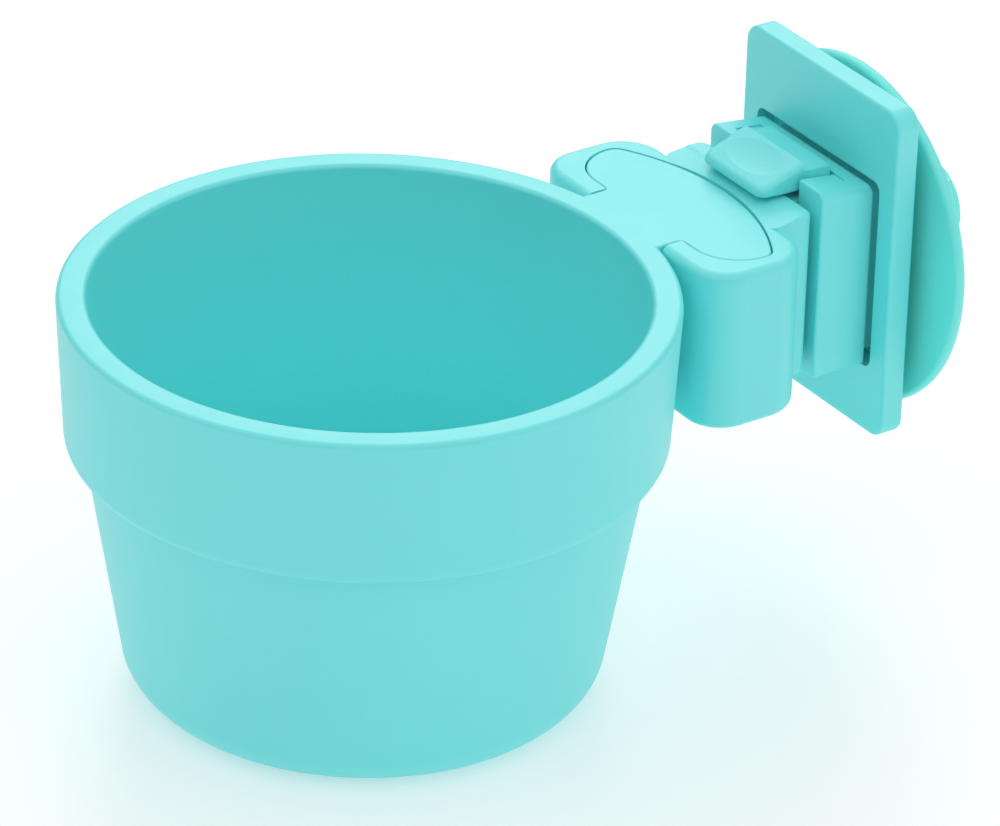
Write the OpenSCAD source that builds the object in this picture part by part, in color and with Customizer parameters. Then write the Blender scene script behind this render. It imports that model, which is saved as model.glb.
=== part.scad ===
// Seed cup that hangs on the wires of a cage.
// The cup drops into a C-shaped holder, the holder's rail drops into a sleeve on the
// cage plate, and a bolt pulls a large round disc and the plate together over the wires.
// Millimetres. +Z is up, +Y points out through the cage, and +X is one side of the arm.
// The origin is the middle of the plate's cage side.

/* [Cup] */
// Outer diameter of the cup at its rim
rim_d = 100; // [90:1:120]
// Height of the cup from the rim to the underside
cup_h = 69.4; // [60:0.2:80]
// Width of the flat lip at the rim
lip_w = 4.9; // [4:0.1:6]
// Radius that rounds both edges of the lip
lip_round = 0.9; // [0.4:0.1:1.5]
// Height of the raised band below the rim
band_h = 25.8; // [21:0.1:27]
// How much the band's radius shrinks from the rim to its lower edge
band_draft = 1.3; // [0.5:0.1:2]
// Step from the band in to the body
band_step = 2.5; // [1.5:0.1:3]
// Radius that rounds the band's lower edge
band_round = 2.2; // [1:0.1:2.4]
// Diameter of the body's cone at the underside, before its edge is rounded
base_d = 77; // [68:1:84]
// Radius of the body's lower edge
base_round = 7.5; // [5:0.5:9]
// Wall thickness at the foot of the body
foot_wall = 3; // [2:0.1:4]
// Thickness of the cup's floor
cup_floor = 3; // [2:0.1:5]
// Radius between the floor and the wall inside the cup
floor_round = 6; // [3:0.5:9]
// Height of the shallow hollow under the cup
foot_hollow_h = 0.8; // [0.4:0.1:1.2]
// Width of the ring that the cup stands on
foot_ring_w = 4; // [3:0.5:6]

/* [Tongue] */
// Width of the tongue's neck, where it leaves the cup
neck_w = 21; // [17:0.5:25]
// Width of the tongue's head
head_w = 44.6; // [40:0.2:48]
// Distance from the cup's rim to the front of the head
neck_l = 3.3; // [2.6:0.1:5]
// Length of the head along the arm
head_l = 16.1; // [13:0.1:17]
// Radius of the head's curved back
head_back_r = 41; // [35:1:60]
// Radius of the head's front corners
head_corner_r = 8; // [6:0.5:9]
// Radius of the head's back corners
head_turn_r = 2.5; // [1.5:0.1:3]
// Height of the tongue
tongue_h = 24.4; // [18:0.2:24.4]

/* [Holder] */
// Thickness of the holder's side walls
holder_wall = 3.1; // [2.5:0.1:4]
// Length of the socket along the arm
socket_l = 20.2; // [19.6:0.1:22]
// Height of the holder
holder_h = 28.4; // [26:0.2:32]
// Radius of the socket's front corners, seen from above
ear_front_r = 6.5; // [6:0.5:9]
// Radius of the socket's back corners, seen from above
ear_back_r = 7.4; // [5:0.2:8]
// Radius that softens the holder's upper and lower edges
holder_round = 1.5; // [0.5:0.1:1.6]
// Width of the block behind the socket
block_w = 30; // [26:0.2:31]
// Radius of the block's upright corners
block_corner_r = 1.8; // [1.7:0.1:2.5]
// Length of the block behind the socket
block_l = 7.3; // [5:0.1:9]
// Height of the block's top over the rim
block_rise = 1; // [0:0.1:1]
// Sliding clearance between the tongue and the socket
tongue_gap = 0.3; // [0.2:0.05:0.5]

/* [Rail and latch] */
// Width of the slot in the sleeve's front
slot_w = 18.6; // [16:0.2:20]
// Width of the rail that slides in the sleeve
rail_w = 23.4; // [21:0.2:25]
// Thickness of the rail
rail_t = 1.8; // [1.5:0.1:2.5]
// Clearance round the rail
rail_gap = 0.25; // [0.15:0.05:0.4]
// Width of the latch and its thumb pad
latch_w = 17; // [14:0.2:18]
// Thickness of the latch's springy arm
latch_t = 1.7; // [1.6:0.1:2.2]
// Space in which the arm can bend
latch_play = 0.9; // [0.8:0.1:1.4]
// Height of the thumb pad's front edge over the rim
pad_front_z = 3.4; // [2.8:0.1:4]
// Height of the thumb pad's back edge over the rim
pad_back_z = 6.2; // [5:0.1:8]
// Length of the thumb pad along the arm
pad_l = 8.7; // [7:0.1:9]
// Gap between the thumb pad and the tongue
pad_gap = 0.9; // [0.8:0.1:1.4]
// Radius of the thumb pad's front corners, seen from above
pad_corner_r = 3; // [1:0.1:4]
// Thickness of the thumb pad's lip
pad_t = 1.8; // [1.6:0.1:1.9]
// Height of the latch's shoulder behind the pad, over the rim
shoulder_z = 4.7; // [4.2:0.1:4.9]

/* [Sleeve] */
// Width of the sleeve
sleeve_w = 31.6; // [29:0.2:36]
// Depth of the sleeve in front of the plate
sleeve_d = 10.6; // [10.4:0.1:14]
// Height of the sleeve
sleeve_h = 34.2; // [32:0.2:40]
// Height of the sleeve's top over the cup's rim
sleeve_rise = 4; // [3:0.1:4]
// How far the sleeve's middle lies below the plate's middle
sleeve_low = 0.7; // [0:0.1:2]
// How far the sleeve's top falls from its front to the plate
sleeve_fall = 1.3; // [0:0.1:1.5]
// Thickness of the lips beside the slot
lip_t = 2.2; // [2:0.1:3]
// Thickness of the sleeve's floor
sleeve_floor = 2.5; // [2:0.1:4]
// Radius of the sleeve's upper corners, seen from the cup
sleeve_corner_r = 1.6; // [1:0.1:2]
// Radius of the sleeve's lower corners
sleeve_low_r = 0.8; // [0.4:0.1:1.2]
// Gap between the holder and the sleeve's front
front_gap = 0.85; // [0.5:0.05:1.5]

/* [Cage plate] */
// Width of the plate on each side of the sleeve
plate_side = 5.4; // [3:0.1:12]
// Height of the plate above the sleeve, and about as much below it
plate_above = 13.6; // [6:0.1:20]
// Thickness of the plate
plate_t = 4.4; // [3.6:0.1:5]
// Radius of the plate's corners
plate_corner_r = 3.2; // [2:0.1:6]
// Radius that softens the plate's edges
plate_round = 0.6; // [0.3:0.1:1]
// Depth of the pocket that the sleeve sits in
pocket_d = 1.5; // [1:0.1:1.8]
// Width of the groove above and below the sleeve
pocket_gap = 1.1; // [0.6:0.1:1.6]
// Width of the groove on both sides of the sleeve
pocket_side = 2.2; // [0.6:0.1:2.4]

/* [Clamp] */
// Diameter of the clamp bolt
bolt_d = 8; // [6:0.5:9]
// Width of the bolt's head across its flats
bolt_head_w = 13; // [11:0.5:15]
// Thickness of the bolt's head
bolt_head_t = 2.8; // [2:0.1:3]
// Length of the bolt behind the plate
bolt_reach = 17; // [15:0.5:18]
// How far the bolt lies below the plate's middle
bolt_low = 1; // [0:0.1:1.2]
// Running clearance between the bolt and each bore on it, on the radius
bolt_gap = 0.05; // [0.02:0.01:0.09]
// Diameter of the clamp disc
disc_d = 60.4; // [50:0.2:70]
// Thickness of the disc at its rim
disc_t = 2; // [1.6:0.1:3]
// Gap for the cage wires between the plate and the disc
wire_gap = 2.6; // [2.4:0.1:4]
// Diameter of the disc's hub
hub_d = 22; // [20:0.5:28]
// Height of the hub behind the disc
hub_h = 2.2; // [1.5:0.1:3]
// Number of ribs on the back of the disc
disc_ribs = 8; // [5:1:12]
// Diameter of the knob
knob_d = 16.8; // [15:0.2:20]
// Distance from the plate's cage side to the end of the knob
knob_reach = 21.4; // [21:0.1:24]
// Number of finger grooves round the knob
knob_flutes = 12; // [8:1:16]

/* [Hidden] */
$fn = 96;
// Overrun of every cut past the face that it opens
cut = 1;
mint = [0.47, 0.84, 0.83];
mint_pale = [0.56, 0.88, 0.87];
mint_deep = [0.40, 0.80, 0.79];
steel = [0.72, 0.74, 0.76];

// Places along the arm, from the plate's cage side towards the cup, and heights
plate_front_y = -plate_t;
sleeve_back_y = plate_front_y + pocket_d;
plate_w = sleeve_w + 2 * plate_side;
sleeve_front_y = plate_front_y - sleeve_d;
block_back_y = sleeve_front_y - front_gap;
socket_back_y = block_back_y - block_l;
socket_front_y = socket_back_y - socket_l;
rim_r = rim_d / 2;
// The ear tips lie beside the neck, just clear of the cup's rim
ear_tip_x = neck_w / 2 + tongue_gap;
cup_y = socket_front_y - tongue_gap - sqrt(pow(rim_r, 2) - pow(ear_tip_x, 2));
sleeve_top_z = sleeve_h / 2 - sleeve_low;
plate_h = 2 * (sleeve_top_z + plate_above);
rim_z = sleeve_top_z - sleeve_rise;
sleeve_floor_z = sleeve_top_z - sleeve_h;
cup_base_z = rim_z - cup_h;
holder_floor_z = rim_z - holder_h;
block_top_z = rim_z + block_rise;
head_front_y = cup_y + rim_r + neck_l;
head_back_y = head_front_y + head_l;

// Rail, channel and latch
function top_z(y) = sleeve_top_z - sleeve_fall * (y - sleeve_front_y) / sleeve_d;
channel_w = rail_w + 2 * rail_gap;
channel_front_y = sleeve_front_y + lip_t;
rail_front_y = channel_front_y + rail_gap;
rail_back_y = rail_front_y + rail_t;
arm_front_y = rail_back_y + latch_play;
arm_back_y = arm_front_y + latch_t;
catch_h = 0.4;
channel_back_y = arm_back_y + catch_h + rail_gap;
rail_base_z = sleeve_floor_z + sleeve_floor + rail_gap;
// The rail and the neck stop below the latch's shoulder
rail_top_z = rim_z - holder_round;
// The latch bends about its root, low in the sleeve
root_gap = 0.3;
root_z = rail_base_z + latch_t * 1.5;
root_y = arm_front_y + latch_t / 2;
// The knob turns against the disc's hub with this gap between their flat faces
seat_gap = 0.1;

// The bolt's axis
bolt_z = -bolt_low;

// Half of a turned shape with a leaning side and a rounded lower corner
module turned_half(r_top, z_top, r_low, z_low, corner) {
    slope = (r_top - r_low) / (z_top - z_low);
    lean = atan(slope);
    cx = r_low + slope * corner - corner / cos(lean);
    cz = z_low + corner;
    polygon([[0, z_low], [cx, z_low], [cx, cz],
        [cx + corner * cos(lean), cz - corner * sin(lean)], [r_top, z_top], [0, z_top]]);
    translate([cx, cz]) circle(corner);
}

// Upright puck whose upper and lower edges are rounded
module soft_puck(r, h, soft_top, soft_low) {
    rotate_extrude()
        intersection() {
            union() {
                translate([0, soft_low]) square([r, h - soft_low - soft_top]);
                square([r - max(soft_top, soft_low), h]);
                if (soft_low > 0) translate([r - soft_low, soft_low]) circle(soft_low);
                if (soft_low > 0) square([r - soft_low, h / 2]);
                if (soft_top > 0) translate([r - soft_top, h - soft_top]) circle(soft_top);
                if (soft_top > 0) translate([0, h / 2]) square([r - soft_top, h / 2]);
            }
            square([r, h]);
        }
}

// Cross-section of a bar of width w and height h with its long edges rounded
module soft_section(w, h, soft_top, soft_low) {
    for (side = [0, 1]) mirror([side, 0])
        union() {
            translate([0, soft_low]) square([w / 2, h - soft_low - soft_top]);
            square([w / 2 - max(soft_top, soft_low), h]);
            if (soft_low > 0) translate([w / 2 - soft_low, soft_low]) circle(soft_low);
            if (soft_low > 0) square([w / 2 - soft_low, h / 2]);
            if (soft_top > 0) translate([w / 2 - soft_top, h - soft_top]) circle(soft_top);
            if (soft_top > 0) translate([0, h / 2]) square([w / 2 - soft_top, h / 2]);
        }
}

// Upright slab with rounded corners seen from above and softened edges.
// It is centred in X, reaches from y0 to y1 and stands on z = 0.
module soft_slab(w, y0, y1, h, r_front, r_back, soft_top, soft_low) {
    for (side = [-1, 1]) {
        translate([side * (w / 2 - r_front), y0 + r_front, 0]) soft_puck(r_front, h, soft_top, soft_low);
        translate([side * (w / 2 - r_back), y1 - r_back, 0]) soft_puck(r_back, h, soft_top, soft_low);
    }
    translate([0, y1 - r_back, 0]) rotate([90, 0, 0])
        linear_extrude(y1 - y0 - r_front - r_back) soft_section(w, h, soft_top, soft_low);
    // Front and back bars along X
    for (bar = [[r_front, 1], [r_back, -1]]) {
        r = bar[0];
        near_y = bar[1] > 0 ? y0 : y1;
        seam_x = w / 2 - r;
        deep = 2 * r;
        intersection() {
            translate([-seam_x, (y0 + y1) / 2, 0]) rotate([90, 0, 90])
                linear_extrude(2 * seam_x) soft_section(y1 - y0, h, soft_top, soft_low);
            translate([-seam_x, min(near_y, near_y + bar[1] * deep), 0]) cube([2 * seam_x, deep, h]);
        }
    }
}

// The tongue's head seen from above, grown by a clearance. A circle on each side
// turns from the straight side into the long curve of the back.
module head_plan(grow) {
    w = head_w + 2 * grow;
    r = head_corner_r + grow;
    front = head_front_y - grow;
    back_r = head_back_r + grow;
    turn_r = head_turn_r + grow;
    turn_x = w / 2 - turn_r;
    turn_y = sqrt(pow(back_r - turn_r, 2) - pow(turn_x, 2));
    meet_x = turn_x * back_r / (back_r - turn_r);
    for (side = [-1, 1]) {
        translate([side * (w / 2 - r), front + r]) circle(r);
        translate([side * turn_x, head_back_y - head_back_r + turn_y]) circle(turn_r);
    }
    translate([-w / 2 + r, front]) square([w - 2 * r, 2 * r]);
    translate([-w / 2, front + r]) square([w, head_back_y - head_back_r + turn_y - front - r]);
    intersection() {
        translate([-meet_x, front + r]) square([2 * meet_x, head_l + 2 * grow]);
        translate([0, head_back_y - head_back_r]) circle(back_r, $fn = 240);
    }
}

// Straight neck from inside the cup's wall to inside the head
module neck_plan(grow, front_y) {
    w = neck_w + 2 * grow;
    translate([-w / 2, front_y]) square([w, head_front_y + head_corner_r / 2 - front_y]);
}

module cup_profile() {
    difference() {
        union() {
            turned_half(rim_r - band_draft - band_step, -band_h + band_step,
                base_d / 2, -cup_h, base_round);
            turned_half(rim_r, 0, rim_r - band_draft, -band_h, band_round);
        }
        turned_half(rim_r - lip_w, 0, base_d / 2 - foot_wall, -cup_h + cup_floor, floor_round);
        // Everything above the lip's edge circles, which are added back below
        translate([0, -lip_round]) square([rim_r + cut, lip_round + cut]);
        // Shallow hollow inside the standing ring
        translate([0, -cup_h - cut])
            square([base_d / 2 - base_round - foot_ring_w, foot_hollow_h + cut]);
    }
    outer_c = rim_r - lip_round - band_draft / band_h * lip_round;
    inner_c = rim_r - lip_w + lip_round;
    intersection() {
        union() {
            translate([outer_c, -lip_round]) circle(lip_round);
            translate([inner_c, -lip_round]) circle(lip_round);
            translate([inner_c, -lip_round]) square([outer_c - inner_c, lip_round]);
        }
        translate([inner_c - lip_round, -lip_round]) square([lip_w + cut, lip_round]);
    }
}

module cup() {
    color(mint)
    union() {
        translate([0, cup_y, rim_z]) rotate_extrude($fn = 180) cup_profile();
        translate([0, 0, rim_z - tongue_h]) linear_extrude(tongue_h) {
            head_plan(0);
            neck_plan(0, cup_y + rim_r - lip_w / 2);
        }
    }
}

module holder() {
    socket_w = head_w + 2 * (tongue_gap + holder_wall);
    pocket_z = rim_z - tongue_h - tongue_gap;
    color(mint_pale)
    union() {
        difference() {
            union() {
                translate([0, 0, holder_floor_z])
                    soft_slab(socket_w, socket_front_y, socket_back_y, holder_h,
                        ear_front_r, ear_back_r, holder_round, holder_round);
                // Block between the socket and the sleeve
                translate([0, 0, holder_floor_z])
                    soft_slab(block_w, socket_back_y - block_corner_r, block_back_y,
                        block_top_z - holder_floor_z, block_corner_r, block_corner_r,
                        holder_round, holder_round);
            }
            translate([0, 0, pocket_z]) linear_extrude(holder_h) {
                head_plan(tongue_gap);
                neck_plan(tongue_gap, socket_front_y - cut);
            }
        }
        // Web through the slot, and the rail behind it
        web_w = slot_w - 2 * rail_gap;
        translate([-web_w / 2, block_back_y - holder_round, rail_base_z])
            cube([web_w, rail_front_y - block_back_y + holder_round + rail_t / 2, rail_top_z - rail_base_z]);
        // The rail's two cheeks fill the channel beside the latch, up to the sleeve's top
        for (side = [0, 1]) mirror([side, 0, 0])
            translate([web_w / 2, 0, 0]) rotate([90, 0, 90]) linear_extrude((rail_w - web_w) / 2)
                polygon([[rail_front_y, rail_base_z], [arm_back_y, rail_base_z],
                    [arm_back_y, top_z(arm_back_y) - rail_gap],
                    [rail_front_y, top_z(rail_front_y) - rail_gap]]);
        translate([-rail_w / 2, rail_front_y, rail_base_z])
            cube([rail_w, rail_t, rail_top_z - rail_base_z]);
        // Foot under the latch's root
        foot_y = rail_back_y - rail_t / 2;
        difference() {
            translate([-rail_w / 2, foot_y, rail_base_z])
                cube([rail_w, arm_back_y - foot_y, root_z - rail_base_z]);
            translate([0, root_y, root_z]) rotate([0, 90, 0])
                cylinder(r = latch_t / 2 + root_gap, h = rail_w + 2 * cut, center = true);
        }
    }
}

module release_latch() {
    arm_w = latch_w * 0.86;
    pad_front_y = head_back_y + pad_gap;
    pad_back_y = pad_front_y + pad_l;
    pad_under_z = rim_z + pad_front_z - pad_t;
    color(mint_pale)
    union() {
        // Springy arm with its rounded root
        translate([0, root_y, root_z]) rotate([0, 90, 0])
            cylinder(d = latch_t, h = arm_w, center = true);
        translate([-arm_w / 2, arm_front_y, root_z])
            cube([arm_w, latch_t, rim_z + shoulder_z - root_z]);
        // Catch on the back of the arm
        catch_z = rim_z - latch_t * 2;
        translate([-arm_w / 4, arm_back_y - cut, catch_z]) rotate([90, 0, 90])
            linear_extrude(arm_w / 2)
                polygon([[0, 0], [cut + catch_h, 0], [cut + catch_h, latch_t / 2], [cut, latch_t * 1.5],
                    [0, latch_t * 1.5]]);
        // Shoulder over the rail and the thumb pad in front of it: the side view, with
        // the pad's front corners rounded as seen from above
        intersection() {
            translate([-latch_w / 2, 0, 0]) rotate([90, 0, 90])
                linear_extrude(latch_w)
                    union() {
                        nose = pad_t / 2;
                        polygon([[pad_front_y + nose, pad_under_z], [arm_back_y, pad_under_z],
                            [arm_back_y, rim_z + shoulder_z], [pad_back_y, rim_z + shoulder_z],
                            [pad_back_y, rim_z + pad_back_z],
                            [pad_front_y + nose, rim_z + pad_front_z]]);
                        translate([pad_front_y + nose, pad_under_z + nose]) circle(nose);
                    }
            translate([0, 0, pad_under_z - cut]) linear_extrude(pad_back_z + 2 * cut)
                union() {
                    for (side = [-1, 1])
                        translate([side * (latch_w / 2 - pad_corner_r), pad_front_y + pad_corner_r])
                            circle(pad_corner_r);
                    translate([-latch_w / 2 + pad_corner_r, pad_front_y - cut])
                        square([latch_w - 2 * pad_corner_r, pad_corner_r + 2 * cut]);
                    translate([-latch_w / 2, pad_front_y + pad_corner_r])
                        square([latch_w, arm_back_y + cut - pad_front_y - pad_corner_r]);
                }
        }
    }
}

module rail_sleeve() {
    head_room = bolt_head_t + rail_gap;
    color(mint)
    difference() {
        // Bar with rounded corners along the arm, whose top falls towards the plate
        intersection() {
            translate([0, sleeve_back_y, sleeve_floor_z]) rotate([90, 0, 0])
                linear_extrude(sleeve_back_y - sleeve_front_y)
                    soft_section(sleeve_w, sleeve_h, sleeve_corner_r, sleeve_low_r);
            translate([-sleeve_w, 0, 0]) rotate([90, 0, 90]) linear_extrude(2 * sleeve_w)
                polygon([[sleeve_front_y - cut, sleeve_floor_z - cut],
                    [sleeve_back_y + cut, sleeve_floor_z - cut],
                    [sleeve_back_y + cut, top_z(sleeve_back_y + cut)],
                    [sleeve_front_y - cut, top_z(sleeve_front_y - cut)]]);
        }
        // Channel for the rail and the latch's arm
        translate([-channel_w / 2, channel_front_y, sleeve_floor_z + sleeve_floor])
            cube([channel_w, channel_back_y - channel_front_y, sleeve_h]);
        // Slot between the front lips
        translate([-slot_w / 2, sleeve_front_y - cut, sleeve_floor_z + sleeve_floor])
            cube([slot_w, lip_t + 2 * cut, sleeve_h]);
        // Notch that the catch springs into
        translate([-latch_w / 4 - rail_gap, channel_back_y - cut, rim_z - latch_t * 2.5])
            cube([latch_w / 2 + 2 * rail_gap, cut + catch_h * 2, latch_t * 2.5]);
        // Seat for the bolt's head, and its hole
        translate([0, channel_back_y + head_room, bolt_z]) rotate([90, 0, 0])
            cylinder(d = (bolt_head_w + 2 * rail_gap) / cos(30), h = head_room + cut, $fn = 6);
        translate([0, sleeve_back_y + cut, bolt_z]) rotate([90, 0, 0])
            cylinder(r = bolt_d / 2 + bolt_gap, h = sleeve_d + pocket_d);
    }
}

module cage_plate() {
    color(mint)
    difference() {
        rotate([90, 0, 0])
            soft_slab(plate_w, -plate_h / 2, plate_h / 2, plate_t,
                plate_corner_r, plate_corner_r, plate_round, plate_round);
        // Pocket for the sleeve
        pocket_w = sleeve_w + 2 * pocket_side;
        translate([-pocket_w / 2, plate_front_y - cut, sleeve_floor_z - pocket_gap])
            cube([pocket_w, cut + pocket_d, sleeve_h + 2 * pocket_gap]);
        translate([0, cut, bolt_z]) rotate([90, 0, 0])
            cylinder(r = bolt_d / 2 + bolt_gap, h = plate_t + 2 * cut);
    }
}

module clamp_bolt() {
    bolt_head_y = channel_back_y + rail_gap;
    color(steel)
    union() {
        translate([0, bolt_head_y + bolt_head_t, bolt_z]) rotate([90, 0, 0])
            cylinder(d = bolt_head_w / cos(30), h = bolt_head_t, $fn = 6);
        tip = bolt_d / 8;
        translate([0, bolt_head_y, bolt_z]) rotate([-90, 0, 0])
            cylinder(d = bolt_d, h = bolt_reach - tip - bolt_head_y);
        translate([0, bolt_reach - tip, bolt_z]) rotate([-90, 0, 0])
            cylinder(d1 = bolt_d, d2 = bolt_d - 2 * tip, h = tip);
    }
}

module clamp_disc() {
    disc_r = disc_d / 2;
    edge = disc_t * 0.3;
    back_y = wire_gap + disc_t;
    color(mint_deep)
    translate([0, 0, bolt_z])
    difference() {
        union() {
            translate([0, wire_gap, 0]) rotate([-90, 0, 0]) soft_puck(disc_r, disc_t, edge, edge);
            translate([0, back_y - edge, 0]) rotate([-90, 0, 0])
                soft_puck(hub_d / 2, hub_h + edge, edge, 0);
            // Ribs that run out from the hub and fade into the disc
            for (i = [0 : disc_ribs - 1]) rotate([0, i * 360 / disc_ribs, 0])
                translate([-disc_t * 0.4, 0, 0]) rotate([90, 0, 90])
                    linear_extrude(disc_t * 0.8)
                        polygon([[back_y - edge, hub_d / 4], [back_y + hub_h * 0.8, hub_d / 4],
                            [back_y + hub_h * 0.8, hub_d / 2], [back_y, disc_r * 0.9],
                            [back_y - edge, disc_r * 0.9]]);
        }
        translate([0, wire_gap - cut, 0]) rotate([-90, 0, 0])
            cylinder(r = bolt_d / 2 + bolt_gap, h = disc_t + hub_h + 2 * cut);
    }
}

module clamp_knob() {
    base_y = wire_gap + disc_t + hub_h + seat_gap;
    length = knob_reach - base_y;
    collar_h = length * 0.2;
    soft = knob_d * 0.08;
    flute_r = knob_d * 0.1;
    end_wall = bolt_d * 0.25;
    color(mint)
    translate([0, 0, bolt_z])
    difference() {
        union() {
            translate([0, base_y, 0]) rotate([-90, 0, 0]) {
                soft_puck(hub_d / 2 - soft / 4, collar_h, soft / 4, soft / 4);
                soft_puck(knob_d / 2, length, soft, 0);
            }
        }
        for (i = [0 : knob_flutes - 1]) rotate([0, i * 360 / knob_flutes, 0])
            translate([0, base_y + collar_h, knob_d / 2 + flute_r * 0.6]) rotate([-90, 0, 0])
                cylinder(r = flute_r, h = length);
        translate([0, base_y - cut, 0]) rotate([-90, 0, 0])
            cylinder(r = bolt_d / 2 + bolt_gap, h = length - end_wall + cut);
    }
}

cup();
holder();
release_latch();
rail_sleeve();
cage_plate();
clamp_bolt();
clamp_disc();
clamp_knob();
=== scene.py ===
# %% [markdown]
# # A hanging seed cup in satin mint plastic
# The cup's tongue drops into a C-shaped holder, the holder's rail drops into a sleeve on the cage
# plate, and a bolt, a disc and a knob clamp the plate over the wires of a cage.
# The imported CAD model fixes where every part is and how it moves. This script builds a finished
# skin for each part in the same place, gives it a plastic or metal finish, and lights it.
# The frame is loaded first, and its box is kept to compare the finished pieces with at the end.

# %% Load the fixed frame
import math

import bmesh
import bpy
from mathutils import Matrix, Vector


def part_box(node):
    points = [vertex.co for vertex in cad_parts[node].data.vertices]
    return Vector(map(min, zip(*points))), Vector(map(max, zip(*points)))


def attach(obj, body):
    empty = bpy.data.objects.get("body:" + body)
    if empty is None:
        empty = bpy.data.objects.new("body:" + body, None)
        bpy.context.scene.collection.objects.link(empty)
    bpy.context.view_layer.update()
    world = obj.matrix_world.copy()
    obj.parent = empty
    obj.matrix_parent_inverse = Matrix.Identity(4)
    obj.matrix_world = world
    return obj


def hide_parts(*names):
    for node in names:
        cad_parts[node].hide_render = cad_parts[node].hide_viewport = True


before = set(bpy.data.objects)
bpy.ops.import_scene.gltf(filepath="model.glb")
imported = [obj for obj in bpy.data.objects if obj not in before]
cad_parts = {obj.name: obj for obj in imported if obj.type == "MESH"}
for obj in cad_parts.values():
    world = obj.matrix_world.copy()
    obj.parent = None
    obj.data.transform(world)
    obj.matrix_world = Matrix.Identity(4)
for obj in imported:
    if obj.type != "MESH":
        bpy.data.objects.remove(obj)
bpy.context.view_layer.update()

# %% [markdown]
# ## The camera first
# The photograph was taken from above and to one side, with a long lens from about a metre away.
# The direction is written as a forward and an up vector, and the camera's turn is built from them,
# because three Euler angles are harder to check by eye. The picture is 1000 pixels wide, so a
# focal length of 7000 pixels is 252 mm on a 36 mm sensor.

# %% Camera
CAMERA_PLACE = (0.819975, -0.635199, 0.533819)
CAMERA_FORWARD = (-0.71893447, 0.49952046, -0.48333481)
CAMERA_UP = (-0.41409313, 0.2506946, 0.87503091)
SENSOR_WIDTH, FOCAL_LENGTH = 36, 252
forward = Vector(CAMERA_FORWARD).normalized()
right = forward.cross(Vector(CAMERA_UP)).normalized()
above = right.cross(forward)
camera = bpy.data.objects.new("camera", bpy.data.cameras.new("camera"))
bpy.context.scene.collection.objects.link(camera)
turn = Matrix((right, above, -forward)).transposed().to_4x4()
camera.matrix_world = Matrix.Translation(CAMERA_PLACE) @ turn
camera.data.sensor_width, camera.data.lens = SENSOR_WIDTH, FOCAL_LENGTH
camera.data.shift_x, camera.data.shift_y = -0.0058, 0.002
camera.data.clip_start, camera.data.clip_end = 0.05, 20
bpy.context.scene.camera = camera
print("camera is", round(camera.matrix_world.translation.length, 2), "m from the clamp bolt")

# %% [markdown]
# ## A few helpers for moulded parts
# A moulded part is a stack of plain solids that were joined, hollowed and softened along their
# edges. Working in millimetres keeps the numbers readable, and only the finished piece is scaled
# to metres. Each helper is a thin wrapper round bmesh operators: a block, a round bar, a softened
# edge, and one solid joined to or cut out of another.

# %% Blocks and bars, in millimetres
MM = 0.001


def span(half):
    """A width that reaches equally far to both sides of the middle."""
    return -half, half


def block(x, y, z):
    """A box between the limits given for each axis."""
    bm = bmesh.new()
    bmesh.ops.create_cube(bm, size=1)
    spans = (x, y, z)
    bmesh.ops.scale(bm, vec=[high - low for low, high in spans], verts=bm.verts)
    bmesh.ops.translate(bm, vec=[(low + high) / 2 for low, high in spans], verts=bm.verts)
    return bm


def bar(axis, start, end, radius, across, sides=48):
    """A round bar along one axis; across gives its place on the other two."""
    bm = bmesh.new()
    bmesh.ops.create_cone(bm, cap_ends=True, segments=sides, radius1=radius, radius2=radius,
                          depth=end - start)
    middle = (start + end) / 2
    if axis == "X":
        bmesh.ops.rotate(bm, verts=bm.verts, matrix=Matrix.Rotation(math.pi / 2, 3, "Y"))
        place = (middle, *across)
    elif axis == "Y":
        bmesh.ops.rotate(bm, verts=bm.verts, matrix=Matrix.Rotation(-math.pi / 2, 3, "X"))
        place = (across[0], middle, across[1])
    else:
        place = (*across, middle)
    bmesh.ops.translate(bm, vec=place, verts=bm.verts)
    return bm


def hexagon(start, end, width, height):
    """A six-sided bar along Y with two flats on top and below; width is across the flats."""
    bm = bar("Y", start, end, width / math.sqrt(3), (0, 0), sides=6)
    bmesh.ops.rotate(bm, verts=bm.verts, matrix=Matrix.Rotation(math.pi / 6, 3, "Y"))
    bmesh.ops.translate(bm, vec=(0, 0, height), verts=bm.verts)
    return bm


sample = block(span(5), span(5), span(5))
print("a plain block has", len(sample.faces), "faces")

# %% [markdown]
# ## Softened edges
# No moulded edge is sharp, and the small radius is what catches the light. A Bevel modifier could
# round all edges at once, but here each edge has its own radius, so the edges are picked by where
# they lie and which way they run, and the bevel operator rounds just those. A profile of 0.5 is a
# true quarter circle.


# %% Picking and softening edges
def soften(bm, chosen, radius, steps=4):
    """Rounds every edge for which chosen(edge) is true."""
    edges = [e for e in bm.edges if chosen(e)]
    bmesh.ops.bevel(bm, geom=edges, offset=radius, offset_type="OFFSET", segments=steps,
                    profile=0.5, affect="EDGES", material=-1, clamp_overlap=True)
    return bm


def runs(edge, axis):
    """True if the edge runs along X, Y or Z."""
    along = edge.verts[1].co - edge.verts[0].co
    others = [abs(along[i]) for i in range(3) if i != "XYZ".index(axis)]
    return max(others) < 1e-3 < abs(along["XYZ".index(axis)])


def lies(edge, axis, value):
    """True if the whole edge is at that height, depth or side."""
    return all(abs(v.co["XYZ".index(axis)] - value) < 2e-3 for v in edge.verts)


def outline_edges(height):
    """Picks the edges at one height where a flat face meets an upright one."""
    return lambda e: lies(e, "Z", height) and len({round(f.normal.z) for f in e.link_faces}) > 1


soften(sample, lambda e: runs(e, "Z"), 1)
print("with four softened edges it has", len(sample.faces), "faces")
sample.free()

# %% [markdown]
# ## Joining and cutting
# The wall of one form has to open exactly where the next one meets it, so solids are joined and cut
# with an exact Boolean. bmesh has no such operator, so each pair becomes two short-lived objects,
# the modifier does the work, and the result is read back. The leftovers are removed at once.


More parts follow.
